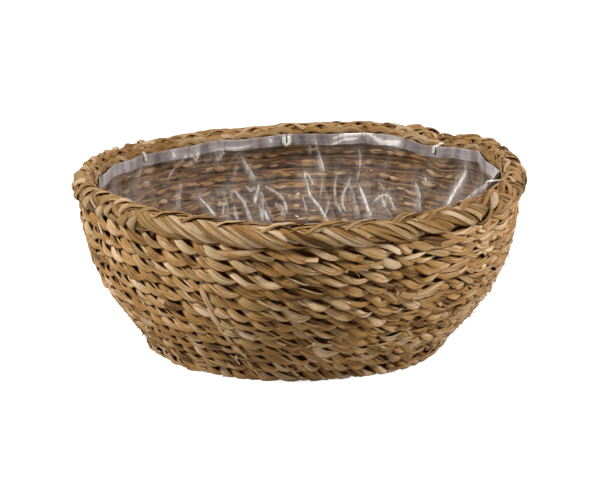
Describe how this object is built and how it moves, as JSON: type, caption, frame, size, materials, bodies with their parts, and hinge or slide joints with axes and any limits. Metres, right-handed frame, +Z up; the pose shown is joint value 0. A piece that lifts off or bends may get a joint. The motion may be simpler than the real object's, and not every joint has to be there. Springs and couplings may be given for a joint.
{
  "type": "lined seagrass basket",
  "caption": "Round bowl-shaped basket of twined seagrass with a thick rolled border and a thin clear film liner stitched in under the rim.",
  "frame": {"origin": "centre of the ring that the basket stands on, on the ground", "axes": "+Z up through the open mouth, -Y towards the viewer of the picture, +X to that viewer's right"},
  "size_m": [0.3, 0.2996, 0.1155],
  "materials": {
    "seagrass": "dry matt straw colour, varying from strand to strand",
    "stake_grass": "dry matt straw colour, bundled",
    "film": "clear crinkled film",
    "thread": "plain thread"
  },
  "bodies": {
    "root": {"start_knot": "stake_grass", "base_weave_lower": "seagrass", "base_weave_upper": "seagrass", "main_stake_01": "stake_grass", "main_stake_02": "stake_grass", "main_stake_03": "stake_grass", "main_stake_04": "stake_grass", "main_stake_05": "stake_grass", "main_stake_06": "stake_grass", "main_stake_07": "stake_grass", "main_stake_08": "stake_grass", "main_stake_09": "stake_grass", "main_stake_10": "stake_grass", "main_stake_11": "stake_grass", "main_stake_12": "stake_grass", "main_stake_13": "stake_grass", "main_stake_14": "stake_grass", "main_stake_15": "stake_grass", "main_stake_16": "stake_grass", "main_stake_17": "stake_grass", "side_stake_01": "stake_grass", "side_stake_02": "stake_grass", "side_stake_03": "stake_grass", "side_stake_04": "stake_grass", "side_stake_05": "stake_grass", "side_stake_06": "stake_grass", "side_stake_07": "stake_grass", "side_stake_08": "stake_grass", "side_stake_09": "stake_grass", "side_stake_10": "stake_grass", "side_stake_11": "stake_grass", "side_stake_12": "stake_grass", "side_stake_13": "stake_grass", "side_stake_14": "stake_grass", "side_stake_15": "stake_grass", "side_stake_16": "stake_grass", "side_stake_17": "stake_grass", "side_stake_18": "stake_grass", "weave_course_01": "seagrass", "weave_course_02": "seagrass", "weave_course_03": "seagrass", "weave_course_04": "seagrass", "weave_course_05": "seagrass", "weave_course_06": "seagrass", "weave_course_07": "seagrass", "weave_course_08": "seagrass", "weave_course_09": "seagrass", "weave_course_10": "seagrass", "weave_course_11": "seagrass", "weave_course_12": "seagrass", "weave_course_13": "seagrass", "liner": "film", "liner_stitch_1": "thread", "liner_stitch_2": "thread", "liner_stitch_3": "thread", "liner_stitch_4": "thread", "liner_stitch_5": "thread", "liner_stitch_6": "thread", "liner_stitch_7": "thread"}
  },
  "joints": []
}
